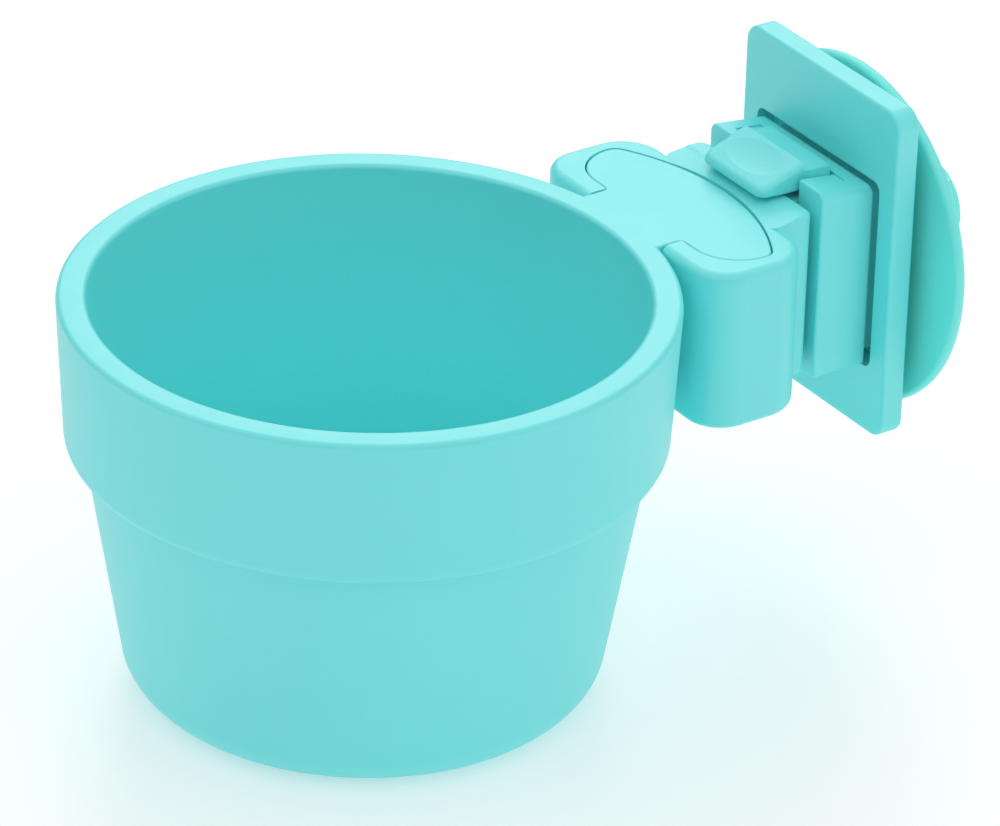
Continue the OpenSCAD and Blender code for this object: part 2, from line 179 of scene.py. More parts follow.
# %% Joining and cutting solids
def as_object(name, bm):
    mesh = bpy.data.meshes.new(name)
    bm.to_mesh(mesh)
    bm.free()
    thing = bpy.data.objects.new(name, mesh)
    bpy.context.scene.collection.objects.link(thing)
    return thing


def combine(bm, *others, how="UNION"):
    """Joins the other solids to bm, cuts them from it, or keeps what they share."""
    for other in others:
        pair = [as_object("work", bm), as_object("tool", other)]
        step = pair[0].modifiers.new("combine", "BOOLEAN")
        step.object, step.operation, step.solver = pair[1], how, "EXACT"
        bpy.context.view_layer.update()
        seen = pair[0].evaluated_get(bpy.context.evaluated_depsgraph_get())
        bm = bmesh.new()
        bm.from_mesh(seen.to_mesh())
        for thing in pair:
            mesh = thing.data
            bpy.data.objects.remove(thing)
            bpy.data.meshes.remove(mesh)
        bmesh.ops.remove_doubles(bm, verts=bm.verts, dist=1e-4)
        bmesh.ops.dissolve_degenerate(bm, dist=1e-4, edges=bm.edges)
    return bm


def cut(bm, *others):
    return combine(bm, *others, how="DIFFERENCE")


def slice_off(bm, point, outward):
    """Cuts away what lies beyond a plane and closes the cut."""
    made = bmesh.ops.bisect_plane(bm, geom=bm.verts[:] + bm.edges[:] + bm.faces[:], dist=1e-5,
                                  plane_co=point, plane_no=outward, clear_outer=True)
    rim = [g for g in made["geom_cut"] if isinstance(g, bmesh.types.BMEdge)]
    bmesh.ops.holes_fill(bm, edges=rim, sides=0)
    return bm


sample = cut(block(span(5), span(5), span(5)), bar("Z", -6, 6, 2, (0, 0)))
print("a block with a round hole has", len(sample.verts), "vertices")
sample.free()

# %% [markdown]
# ## A turned profile with rounded corners
# Cups, discs and knobs are turned shapes. Each is drawn as half a section, corner by corner, as on
# a drawing, and a vertex bevel rounds each corner to its radius. The bevel wants the distance from
# the corner to where the arc starts, which is the radius times the tangent of half the turn. Then
# spin sweeps the section round its axis, and the doubled seam and the points on the axis merge.

# %% Turned shapes
def turned(corners, steps=192):
    """corners are (distance from the axis, height, radius); the axis is Z through the origin."""
    bm = bmesh.new()
    points = [bm.verts.new((r, 0, z)) for r, z, _ in corners]
    at = [p.co.copy() for p in points]
    for start, end in zip(points, points[1:]):
        bm.edges.new((start, end))
    for i, (_, _, radius) in enumerate(corners):
        if radius:
            bend = (at[i] - at[i - 1]).angle(at[i + 1] - at[i])
            bmesh.ops.bevel(bm, geom=[points[i]], offset=radius * math.tan(bend / 2),
                            offset_type="OFFSET", segments=max(3, round(radius * 2.5)),
                            profile=0.5, affect="VERTICES", material=-1)
    bmesh.ops.spin(bm, geom=bm.verts[:] + bm.edges[:], axis=(0, 0, 1), cent=(0, 0, 0),
                   angle=2 * math.pi, steps=steps, use_merge=True)
    bmesh.ops.remove_doubles(bm, verts=bm.verts, dist=1e-4)
    bmesh.ops.recalc_face_normals(bm, faces=bm.faces)
    return bm


def along_y(bm):
    """Turns a shape that was built up the Z axis so that it points along Y."""
    bmesh.ops.rotate(bm, verts=bm.verts, matrix=Matrix.Rotation(-math.pi / 2, 3, "X"))
    return bm


sample = turned([(0, 0, 0), (5, 0, 1), (5, 3, 1), (0, 3, 0)], steps=24)
print("a small turned disc has", len(sample.faces), "faces, all closed:",
      all(e.is_manifold for e in sample.edges))
sample.free()


# %% Outlines drawn from above
def arc(centre, radius, start, end, steps):
    """Points on an arc, from one angle to another in degrees, 0 along +X and 90 along +Y."""
    angles = [math.radians(start + (end - start) * i / steps) for i in range(steps + 1)]
    return [(centre[0] + radius * math.cos(a), centre[1] + radius * math.sin(a)) for a in angles]


def upright(points, low, high):
    """Stands an outline drawn from above up between two heights."""
    bm = bmesh.new()
    outline = bm.faces.new([bm.verts.new((x, y, low)) for x, y in points])
    raised = bmesh.ops.extrude_face_region(bm, geom=[outline])["geom"]
    bmesh.ops.translate(bm, vec=(0, 0, high - low),
                        verts=[v for v in raised if isinstance(v, bmesh.types.BMVert)])
    bmesh.ops.recalc_face_normals(bm, faces=bm.faces)
    return bm


sample = upright(arc((0, 0), 5, 0, 180, 12), 0, 2)
print("a half disc stood up has", len(sample.faces), "faces")
sample.free()

# %% [markdown]
# ## The skin of moulded plastic
# The real cup is satin polypropylene in one mint colour. Up close such plastic has a faint slow
# drift of tone where it cooled unevenly, a roughness that varies over a few millimetres, and a very
# fine grain from the mould. A painted texture could hold these, but noise needs no unwrapping and
# shows no seams. All four plastic finishes need it, so it is one shader group with named inputs,
# and each material sets its own values. Object coordinates are metres on every piece, so a scale of
# 2500 is a grain of 0.4 mm everywhere.

# %% An empty shader group
def new_group(name, inputs, outputs):
    group = bpy.data.node_groups.new(name, "ShaderNodeTree")
    for label, kind, value in inputs:
        group.interface.new_socket(label, in_out="INPUT", socket_type=kind).default_value = value
    for label, kind in outputs:
        group.interface.new_socket(label, in_out="OUTPUT", socket_type=kind)
    return group, group.nodes.new("NodeGroupInput"), group.nodes.new("NodeGroupOutput")


moulded, given, result = new_group(
    "moulded plastic skin",
    [("Colour", "NodeSocketColor", (0.2, 0.7, 0.7, 1)), ("Drift", "NodeSocketFloat", 0.05),
     ("Satin", "NodeSocketFloat", 0.4), ("Satin change", "NodeSocketFloat", 0.05),
     ("Grain depth", "NodeSocketFloat", 0.02)],
    [("Colour", "NodeSocketColor"), ("Satin", "NodeSocketFloat"), ("Normal", "NodeSocketVector")])
here = moulded.nodes.new("ShaderNodeTexCoord").outputs["Object"]
print("the group takes", [socket.name for socket in given.outputs if socket.name])


# %% Small node helpers
def noise(group, where, scale, detail, roughness=0.5):
    cloud = group.nodes.new("ShaderNodeTexNoise")
    cloud.inputs["Scale"].default_value = scale
    cloud.inputs["Detail"].default_value = detail
    cloud.inputs["Roughness"].default_value = roughness
    group.links.new(where, cloud.inputs["Vector"])
    return cloud.outputs["Fac"]


def maths(group, operation, *values):
    node = group.nodes.new("ShaderNodeMath")
    node.operation = operation
    for socket, value in zip(node.inputs, values):
        if isinstance(value, (int, float)):
            socket.default_value = value
        else:
            group.links.new(value, socket)
    return node.outputs[0]


def ramp(group, value, stops):
    """Turns a value into a colour; stops are (place, colour), the first at 0 and the last at 1."""
    node = group.nodes.new("ShaderNodeValToRGB")
    marks = node.color_ramp.elements
    for place, _ in stops[1:-1]:
        marks.new(place)
    for mark, (_, colour) in zip(marks, stops):
        mark.color = (*colour, 1)
    group.links.new(value, node.inputs["Fac"])
    return node.outputs["Color"]


# %% Drift, satin and grain
DRIFT_SCALE, PATCH_SCALE, GRAIN_SCALE, GRAIN_HEIGHT = 38, 210, 2500, 0.0001
# The drift brightens or darkens the colour by a few hundredths
swing = maths(moulded, "SUBTRACT", noise(moulded, here, DRIFT_SCALE, 2), 0.5)
level = maths(moulded, "ADD", maths(moulded, "MULTIPLY", swing, given.outputs["Drift"]), 1)
tint = moulded.nodes.new("ShaderNodeVectorMath")
tint.operation = "SCALE"
moulded.links.new(given.outputs["Colour"], tint.inputs[0])
moulded.links.new(level, tint.inputs["Scale"])
moulded.links.new(tint.outputs[0], result.inputs["Colour"])
# The satin varies in soft patches
patches = maths(moulded, "SUBTRACT", noise(moulded, here, PATCH_SCALE, 3), 0.5)
satin = maths(moulded, "ADD", maths(moulded, "MULTIPLY", patches, given.outputs["Satin change"]),
              given.outputs["Satin"])
moulded.links.new(satin, result.inputs["Satin"])
# The grain is a very shallow bump
grain = moulded.nodes.new("ShaderNodeBump")
grain.inputs["Distance"].default_value = GRAIN_HEIGHT
moulded.links.new(noise(moulded, here, GRAIN_SCALE, 2, 0.6), grain.inputs["Height"])
moulded.links.new(given.outputs["Grain depth"], grain.inputs["Strength"])
moulded.links.new(grain.outputs["Normal"], result.inputs["Normal"])
print("moulded plastic group has", len(moulded.nodes), "nodes")

# %% [markdown]
# ## The mint plastics
# Polypropylene lets a little light in and scatters it, which fills the grooves with deep, saturated
# mint instead of grey. A small subsurface weight with a reach of about a millimetre gives that. The
# sheen on the tops is the shader's own Fresnel, raised a little, because the real plastic turns
# whitish where it is seen at a low angle. The clamp's pieces get a slightly greener mint. This is
# painted shade: it stands for the deeper green that the thin disc takes on in shadow, where light
# passes through it.


# %% Plastic materials
def plastic(name, colour, satin=0.42, satin_change=0.07, drift=0.05, grain_depth=0.25):
    made = bpy.data.materials.new(name)
    made.use_nodes = True
    nodes, links = made.node_tree.nodes, made.node_tree.links
    shader = nodes["Principled BSDF"]
    skin = nodes.new("ShaderNodeGroup")
    skin.node_tree = moulded
    for label, value in (("Colour", (*colour, 1)), ("Drift", drift), ("Satin", satin),
                         ("Satin change", satin_change), ("Grain depth", grain_depth)):
        skin.inputs[label].default_value = value
    links.new(skin.outputs["Colour"], shader.inputs["Base Color"])
    links.new(skin.outputs["Satin"], shader.inputs["Roughness"])
    links.new(skin.outputs["Normal"], shader.inputs["Normal"])
    shader.inputs["IOR"].default_value = 1.5
    shader.inputs["Specular IOR Level"].default_value = 0.95
    shader.inputs["Subsurface Weight"].default_value = 0.15
    shader.inputs["Subsurface Radius"].default_value = (0.4, 1.0, 0.9)
    shader.inputs["Subsurface Scale"].default_value = 0.0015
    return made


# The clamp's greener mint is painted shade, not another plastic: it copies the disc's deeper green in
# shadow.
MINT, SHADE_GREENED_MINT = (0.165, 0.85, 0.86), (0.18, 0.91, 0.85)
cup_mint = plastic("satin mint, cup", MINT)
holder_mint = plastic("satin mint, holder", MINT)
bracket_mint = plastic("satin mint, bracket", MINT)
clamp_mint = plastic("satin mint, clamp", SHADE_GREENED_MINT)
print("plastics:", ", ".join(m.name for m in bpy.data.materials if m.name.startswith("satin mint")))

# %% [markdown]
# ## Zinc plated steel
# The bolt is the one metal piece. Zinc plating is a grey metal with a fine, uneven shine, where the
# crystals of the coat catch the light differently. One noise drives both the tone and the
# roughness, so a paler crystal is also a duller one.

# %% Steel material
zinc = bpy.data.materials.new("zinc plated steel")
zinc.use_nodes = True
tree = zinc.node_tree
steel = tree.nodes["Principled BSDF"]
steel.inputs["Metallic"].default_value = 1
spangle = noise(tree, tree.nodes.new("ShaderNodeTexCoord").outputs["Object"], 900, 3)
ZINC_DARK, ZINC_PALE = (0.47, 0.48, 0.50), (0.66, 0.67, 0.68)
tree.links.new(ramp(tree, spangle, ((0, ZINC_DARK), (1, ZINC_PALE))), steel.inputs["Base Color"])
shine = maths(tree, "ADD", maths(tree, "MULTIPLY", spangle, 0.2), 0.22)
tree.links.new(shine, steel.inputs["Roughness"])
print("steel has", len(tree.nodes), "nodes")

# %% [markdown]
# ## Placing a finished piece
# Every finished piece goes through the same steps, so they are one function. It scales the solid to
# metres and shades it smooth, apart from edges that turn by more than 38 degrees. Weighted normals
# let the large flat faces win over the narrow bevels, so the flats stay flat. Then the piece rides
# on its body, takes the place of the plain solid and gets its material slot.

# %% Placing a finished piece
CRISP = math.radians(38)


def finished(name, bm, body, node, material):
    """Scales the solid to metres, shades it smooth between crisp edges, and seats it in the frame."""
    bmesh.ops.scale(bm, vec=(MM, MM, MM), verts=bm.verts)
    for face in bm.faces:
        face.smooth = True
    for edge in bm.edges:
        edge.smooth = not (edge.is_manifold and edge.calc_face_angle() > CRISP)
    open_edges = sum(not e.is_manifold for e in bm.edges)
    thing = as_object(name, bm)
    even = thing.modifiers.new("even shading", "WEIGHTED_NORMAL")
    even.keep_sharp, even.weight = True, 50
    thing.data.materials.append(material)
    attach(thing, body)
    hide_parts(node)
    faces = sum(len(p.vertices) - 2 for p in thing.data.polygons)
    size = [round(v / MM, 1) for v in thing.dimensions]
    low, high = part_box(node)
    print(name, faces, "triangles,", size, "mm; CAD", [round(v / MM, 1) for v in high - low],
          "open edges", open_edges)


# %% [markdown]
# ## The cup's bowl
# The bowl is round, so it could be built up from cylinders, but one turned section gives the wall,
# the lip and the foot at once, with every corner at its own radius. The lip is flat and rounded on
# both edges, a band 25.8 mm deep stands proud under it, and the body tapers to a foot that stands
# on a ring.

# %% Bowl
CUP_Y, RIM_Z, CUP_BASE_Z = -92.4697, 12.4, -57.0
RIM_R, LIP_R, BAND_R, BODY_R, BAND_DEPTH = 50, 45.1, 48.7, 45.78, 25.8
FOOT_R, RING_R, RING_HEIGHT, CUP_DEPTH, FLOOR_R = 38.5, 27, 0.8, 66.4, 35.5
ring_low = CUP_BASE_Z - RIM_Z
bowl = turned([
    (0, ring_low + RING_HEIGHT, 0), (RING_R, ring_low + RING_HEIGHT, 0.2), (RING_R, ring_low, 0.4),
    (FOOT_R, ring_low, 7.5), (BODY_R, -BAND_DEPTH, 0.6), (BAND_R, -BAND_DEPTH, 2.2), (RIM_R, 0, 0.9),
    (LIP_R, 0, 0.9), (FLOOR_R, -CUP_DEPTH, 6), (0, -CUP_DEPTH, 0)])
bmesh.ops.translate(bowl, vec=(0, CUP_Y, RIM_Z), verts=bowl.verts)
print("bowl", len(bowl.faces), "faces,", round(RIM_R - LIP_R, 1), "mm wide at the lip")

# %% [markdown]
# ## The cup's tongue
# The tongue is a T seen from above, flush with the rim. Its head has two round front corners and a
# back that is one long shallow curve, so its outline is drawn from arcs that run into each other
# and is then stood up. The same outline, grown by a clearance, is cut from the holder later. A neck
# joins the head to the bowl, inside the bowl's wall.

# %% Tongue
HEAD_FRONT, HEAD_BACK, HEAD_HALF, TONGUE_LOW = -39.1697, -23.0697, 22.3, -12.0
HEAD_CORNER_R, HEAD_TURN_R, HEAD_BACK_R = 8, 2.5, 41
NECK_HALF, NECK_START, NECK_END = 10.5, -44.92, -35


def tongue_head(grow, low, high):
    """The T's head, grown by a clearance, between two heights."""
    front, side = HEAD_FRONT - grow, HEAD_HALF + grow
    corner, turn, back = HEAD_CORNER_R + grow, HEAD_TURN_R + grow, HEAD_BACK_R + grow
    back_y, turn_x = HEAD_BACK - HEAD_BACK_R, side - turn
    turn_y = back_y + math.sqrt((back - turn) ** 2 - turn_x ** 2)
    meet = 90 - math.degrees(math.asin(turn_x / (back - turn)))
    half = (arc((side - corner, front + corner), corner, -90, 0, 16)
            + arc((turn_x, turn_y), turn, 0, meet, 8) + arc((0, back_y), back, meet, 90, 24)[1:])
    return upright(half + [(-x, y) for x, y in reversed(half[:-1])], low, high)


tongue = combine(tongue_head(0, TONGUE_LOW, RIM_Z),
                 block(span(NECK_HALF), (NECK_START, NECK_END), (TONGUE_LOW, RIM_Z)))
soften(tongue, lambda e: runs(e, "Z") and lies(e, "Y", HEAD_FRONT)
       and abs(e.verts[0].co.x) < NECK_HALF + 0.5, 1)
for height, radius in ((TONGUE_LOW, 0.8), (RIM_Z, 0.35)):
    soften(tongue, lambda e: outline_edges(height)(e) and not lies(e, "Y", NECK_START), radius, 3)
finished("seed_cup", combine(bowl, tongue), "cup", "cup", cup_mint)

# %% [markdown]
# ## The holder's ears and block
# Two ears wrap round the tongue's head and leave a slot for its neck. They are one block with
# generous upright corners and softened rims. Behind them stands a second block, whose top rises a
# little towards the latch. The socket is the tongue's own head, grown by a quarter of a millimetre
# and cut out, which is how a mould maker gets an even clearance.

# %% Ears and block
HOLDER_LOW, EARS_HALF, EARS_FRONT, EARS_BACK = -16.0, 25.7, -43.35, -23.15
BLOCK_HALF, BLOCK_FRONT, BLOCK_BACK, BLOCK_TOP, BLOCK_RISE = 15.6, -24.95, -16.35, 13.4, 0.185
GAP, SLOT_HALF, ABOVE = 0.24, 10.8, 15
ears = block(span(EARS_HALF), (EARS_FRONT, EARS_BACK), (HOLDER_LOW, RIM_Z))
soften(ears, lambda e: runs(e, "Z") and lies(e, "Y", EARS_FRONT), 6.5, 14)
soften(ears, lambda e: runs(e, "Z") and lies(e, "Y", EARS_BACK), 7.4, 14)
soften(ears, lambda e: lies(e, "Z", RIM_Z) or lies(e, "Z", HOLDER_LOW), 1.5, 5)
back_block = block(span(BLOCK_HALF), (BLOCK_FRONT, BLOCK_BACK), (HOLDER_LOW, BLOCK_TOP))
soften(back_block, lambda e: runs(e, "Z"), 1.8, 6)
slice_off(back_block, (0, BLOCK_FRONT, RIM_Z - 0.02),
          (0, -math.sin(BLOCK_RISE), math.cos(BLOCK_RISE)))
soften(back_block, lambda e: lies(e, "Z", BLOCK_TOP) or lies(e, "Z", HOLDER_LOW), 1.5, 5)
socket = combine(tongue_head(GAP, TONGUE_LOW - GAP, ABOVE),
                 block(span(SLOT_HALF), (-45, NECK_END), (TONGUE_LOW - GAP, ABOVE)))
holder = cut(combine(ears, back_block), socket)
# The ear tips are rounded where the neck passes between them
soften(holder, lambda e: runs(e, "Z") and abs(abs(e.verts[0].co.x) - SLOT_HALF) < 1e-3
       and e.verts[0].co.y < HEAD_FRONT, 1.2, 5)
print("holder so far", len(holder.faces), "faces, gap round the tongue", GAP, "mm")

# %% [markdown]
# ## The holder's rail
# A web reaches back from the block through the sleeve's slot to a flat rail that the sleeve's lips
# keep from pulling out. Two cheeks stand on the rail and fill the channel on both sides of the
# latch. Their tops fall towards the plate with the sleeve's top. The foot below has a round seat
# for the latch's root.

# %% Rail, cheeks and foot
RAIL_HALF, RAIL_LOW, RAIL_TOP, RAIL_FRONT, RAIL_BACK = 11.7, -15.05, 12.4, -12.55, -10.75
WEB_HALF, WEB_BACK, CHEEK_IN, CHEEK_OUT, CHEEK_BACK = 9.05, -11.65, 8.56, 11.92, -7.53
ROOT_Y, ROOT_Z, ROOT_R, ROOT_SEAT_R = -9.0, -12.5, 0.85, 1.15
FALL = math.atan2(1.3, 10.6)
web = block(span(WEB_HALF), (BLOCK_BACK - 1.5, WEB_BACK), (RAIL_LOW, RAIL_TOP))
rail = block(span(RAIL_HALF), (RAIL_FRONT, RAIL_BACK), (RAIL_LOW, RAIL_TOP))
cheeks = []
for side in (-1, 1):
    cheek = block(sorted((side * CHEEK_IN, side * CHEEK_OUT)), (RAIL_FRONT, CHEEK_BACK), (RAIL_LOW, 20))
    slice_off(cheek, (0, -15, 16.15), (0, math.sin(FALL), math.cos(FALL)))
    cheeks.append(soften(cheek, lambda e: min(v.co.z for v in e.verts) > 12, 0.3, 3))
foot = cut(block(span(RAIL_HALF), (WEB_BACK, -8.15), (RAIL_LOW, ROOT_Z)),
           bar("X", -13, 13, ROOT_SEAT_R, (ROOT_Y, ROOT_Z)))
holder = combine(holder, web, rail, foot, *cheeks)
finished("cup_holder", holder, "holder", "holder", holder_mint)

# %% [markdown]
# ## The release latch: the thumb pad
# The pad is what a thumb pushes to free the holder, so it slopes down to a rolled front lip and has
# a shallow dish. It is a block whose top is sliced off at the slope and whose back is cut down to a
# shoulder that joins the arm. The dish is scooped with a flattened sphere, turned to the slope,
# because a sphere leaves an edge that fades evenly all round.

# %% Thumb pad
PAD_HALF, PAD_FRONT, PAD_BACK, ARM_BACK = 8.5, -22.17, -13.47, -8.15
PAD_UNDER, SHOULDER, PAD_TOP = RIM_Z + 1.6, RIM_Z + 4.7, RIM_Z + 6.2
slope = math.atan2(2.8, 7.8)
uphill = Vector((0, -math.sin(slope), math.cos(slope)))
pad = block(span(PAD_HALF), (PAD_FRONT, ARM_BACK), (PAD_UNDER, PAD_TOP))
soften(pad, lambda e: runs(e, "Z") and lies(e, "Y", PAD_FRONT), 1.9, 8)
slice_off(pad, (0, PAD_FRONT + 0.9, RIM_Z + 3.4), uphill)
soften(pad, lambda e: any(f.normal.dot(uphill) > 0.999 for f in e.link_faces)
       and not lies(e, "Z", PAD_TOP), 0.95, 6)
soften(pad, lambda e: outline_edges(PAD_UNDER)(e) and max(v.co.y for v in e.verts) < -10, 0.65, 5)
pad = cut(pad, block(span(9), (PAD_BACK, ARM_BACK + 1), (SHOULDER, PAD_TOP + 2.8)))
soften(pad, lambda e: lies(e, "Z", SHOULDER) and runs(e, "Y"), 2.1, 8)
soften(pad, lambda e: lies(e, "Y", ARM_BACK) and min(v.co.z for v in e.verts) > PAD_UNDER + 0.1, 0.5)
print("thumb pad slopes", round(math.degrees(slope)), "degrees,", len(pad.faces), "faces")

# %% Thumb dish
DISH_SIZE, DISH_Y, DISH_LIFT = (15, 7.6, 2.4), -17.3, 2.14
dish = bmesh.new()
bmesh.ops.create_uvsphere(dish, u_segments=96, v_segments=48, radius=1)
bmesh.ops.scale(dish, vec=DISH_SIZE, verts=dish.verts)
bmesh.ops.rotate(dish, verts=dish.verts, matrix=Matrix.Rotation(slope, 3, "X"))
on_slope = Vector((0, DISH_Y, RIM_Z + 3.4 + math.tan(slope) * (DISH_Y - PAD_FRONT - 0.9)))
bmesh.ops.translate(dish, vec=on_slope + uphill * DISH_LIFT, verts=dish.verts)
pad = cut(pad, dish)
soften(pad, lambda e: lies(e, "Y", PAD_BACK) and e.verts[0].co.z > SHOULDER + 0.1, 0.3, 3)
print("the dish is", round(DISH_SIZE[2] - DISH_LIFT, 2), "mm deep")

# %% [markdown]
# ## The release latch: the arm
# A thin springy arm stands behind the rail on a round root, and bends there. A wedge on its back is
# the catch that holds the holder down in the sleeve. It is sliced at a slope, so that it pushes
# itself in when the holder drops down.

# %% Arm and catch
ARM_HALF, ARM_FRONT, CATCH_BACK = 7.31, -9.85, -7.75
arm = block(span(ARM_HALF), (ARM_FRONT, ARM_BACK), (ROOT_Z, PAD_UNDER + 1))
root = bar("X", -ARM_HALF, ARM_HALF, ROOT_R, (ROOT_Y, ROOT_Z))
catch = block(span(3.65), (-9.15, CATCH_BACK), (9.0, 11.55))
slice_off(catch, (0, CATCH_BACK, 9.85), (0, 1.7, 0.4))
finished("release_latch", combine(arm, root, pad, catch), "latch", "release_latch",
         holder_mint)

# %% [markdown]
# ## The rail sleeve
# The sleeve is an upright channel with two lips that the rail slides behind. It is cut from one
# block, as its outside is plain and all its detail is inside. A waist at its root stands in the
# plate's pocket and leaves a dark groove round it. The hexagonal seat in its back wall keeps the
# bolt's head from turning, and a small window takes the latch's catch.

# %% Sleeve
SLEEVE_HALF, SLEEVE_LOW, SLEEVE_TOP, SLEEVE_FRONT, SLEEVE_BACK = 15.8, -17.8, 16.4, -15.0, -2.9
CHANNEL_HALF, CHANNEL_BACK, CHANNEL_LOW, LIP_HALF, LIP_BACK = 11.95, -7.5, -15.3, 9.3, -12.8
WAIST_HALF, WAIST_LOW, WAIST_TOP, BOLT_HOLE, BOLT_Z, OUT = 14, -16, 13, 4.05, -1.0, 20
sleeve = block(span(SLEEVE_HALF), (SLEEVE_FRONT, SLEEVE_BACK), (SLEEVE_LOW, SLEEVE_TOP))
for corner in sleeve.verts:
    if corner.co.z > 0 and corner.co.y > -10:
        corner.co.z -= math.tan(FALL) * (SLEEVE_BACK - SLEEVE_FRONT)
soften(sleeve, lambda e: min(v.co.z for v in e.verts) > 0 and not runs(e, "X"), 1.6, 6)
soften(sleeve, lambda e: runs(e, "Y") and lies(e, "Z", SLEEVE_LOW), 0.8)
soften(sleeve, lambda e: lies(e, "Y", SLEEVE_FRONT), 0.5, 3)
sleeve = cut(sleeve, block(span(CHANNEL_HALF), (LIP_BACK, CHANNEL_BACK), (CHANNEL_LOW, OUT)),
             block(span(LIP_HALF), (-17, LIP_BACK + 0.3), (CHANNEL_LOW, OUT)))
soften(sleeve, lambda e: runs(e, "Z") and abs(abs(e.verts[0].co.x) - LIP_HALF) < 1e-3, 0.35, 3)
waist = cut(block(span(17), (-4.8, -2), (-19, 18)),
            block(span(WAIST_HALF), (-6, -1), (WAIST_LOW, WAIST_TOP)))
sleeve = cut(sleeve, waist)
sleeve = cut(sleeve, hexagon(-8.5, -4.45, 13.5, BOLT_Z),
             bar("Y", -9, 0, BOLT_HOLE, (0, BOLT_Z), sides=64),
             block(span(4.5), (-8.5, -6.7), (8.15, 12.4)))
finished("rail_sleeve", sleeve, "bracket", "rail_sleeve", bracket_mint)

# %% [markdown]
# ## The cage plate
# The plate lies flat against the wires. Its shallow pocket is a little wider than the sleeve, and
# behind the sleeve a groove goes on round the waist, so light hardly reaches the bottom and a dark
# line runs round the sleeve.

# %% Cage plate
PLATE_HALF, PLATE_TALL, PLATE_FRONT = 21.2, 30, -4.4
POCKET_HALF, POCKET_LOW, POCKET_TOP, GROOVE_BACK = 17.1, -18.2, 16.1, -0.9
plate = block(span(PLATE_HALF), (PLATE_FRONT, 0), span(PLATE_TALL))
soften(plate, lambda e: runs(e, "Y"), 3.2, 10)
soften(plate, lambda e: lies(e, "Y", PLATE_FRONT) or lies(e, "Y", 0), 0.6)
pocket = block(span(POCKET_HALF), (-6, SLEEVE_BACK), (POCKET_LOW, POCKET_TOP))
groove = block(span(POCKET_HALF), (SLEEVE_BACK - 1, GROOVE_BACK), (POCKET_LOW, POCKET_TOP))
for hollow in (pocket, groove):
    soften(hollow, lambda e: runs(e, "Y"), 1.8, 6)
groove = cut(groove, block(span(WAIST_HALF), (-5, 0), (WAIST_LOW, WAIST_TOP)))
plate = cut(plate, pocket, groove, bar("Y", -6, 2, BOLT_HOLE, (0, BOLT_Z), sides=64))
finished("cage_plate", plate, "bracket", "cage_plate", bracket_mint)

# %% [markdown]
# ## The clamp bolt
# The bolt's head is a hexagon with its corners turned off, which is what a hexagon and a turned
# shape have in common. A bump texture could draw a thread, but its outline would stay straight.
# Here a small ridge is swept up the shank: each step of the spin turns it and lifts it by a share
# of the 1.25 mm pitch.

# %% Bolt head and shank
def on_bolt(bm):
    """Lowers a shape built round the Y axis to the bolt's axis."""
    bmesh.ops.translate(bm, vec=(0, 0, BOLT_Z), verts=bm.verts)
    return bm


HEAD_Y, HEAD_THICK, TIP_Y, SHANK_R = -7.25, 2.8, 17, 3.4
turned_off = along_y(turned([(0, HEAD_Y - 1, 0), (6.3, HEAD_Y - 1, 0), (6.3, HEAD_Y, 0),
                             (7.6, HEAD_Y + 0.75, 0), (9, HEAD_Y + 4, 0), (0, HEAD_Y + 4, 0)],
                            steps=64))
head = combine(hexagon(HEAD_Y, HEAD_Y + HEAD_THICK, 13, 0), turned_off, how="INTERSECT")
shank = along_y(turned([(0, HEAD_Y + 1, 0), (SHANK_R, HEAD_Y + 1, 0), (SHANK_R, TIP_Y - 0.6, 0),
                        (2.9, TIP_Y, 0), (0, TIP_Y, 0)], steps=64))
bolt = combine(head, shank)
print("bolt is", round(TIP_Y - HEAD_Y, 2), "mm long with its head")

# %% Bolt thread
PITCH, TURN_STEPS, TURNS, THREAD_START = 1.25, 40, 15, HEAD_Y + 2.6
ridge = bmesh.new()
section = [ridge.verts.new((r, y, 0)) for r, y in ((3.3, 0), (3.97, 0.48), (3.97, 0.62), (3.3, 1.1))]
ridge.faces.new(section)
bmesh.ops.translate(ridge, vec=(0, THREAD_START, 0), verts=ridge.verts)
bmesh.ops.spin(ridge, geom=ridge.verts[:] + ridge.edges[:] + ridge.faces[:], axis=(0, 1, 0),
               cent=(0, 0, 0), dvec=(0, PITCH / TURN_STEPS, 0), angle=2 * math.pi * TURNS,
               steps=TURN_STEPS * TURNS)
bmesh.ops.recalc_face_normals(ridge, faces=ridge.faces)
print("thread from", round(min(v.co.y for v in ridge.verts), 1), "to",
      round(max(v.co.y for v in ridge.verts), 1), "mm")
thread = bpy.data.meshes.new("thread")
ridge.to_mesh(thread)
ridge.free()
bolt.from_mesh(thread)
bpy.data.meshes.remove(thread)
finished("clamp_bolt", on_bolt(bolt), "bracket", "clamp_bolt", zinc)

# %% [markdown]
# ## The clamp disc
# The disc presses the cage's wires against the plate. It is turned, with a hub behind it, and eight
# ribs stiffen it: each is a small block sliced to a slope, so that it runs out and fades into the
# disc. One rib is made and joined eight times, turned a step further each time.

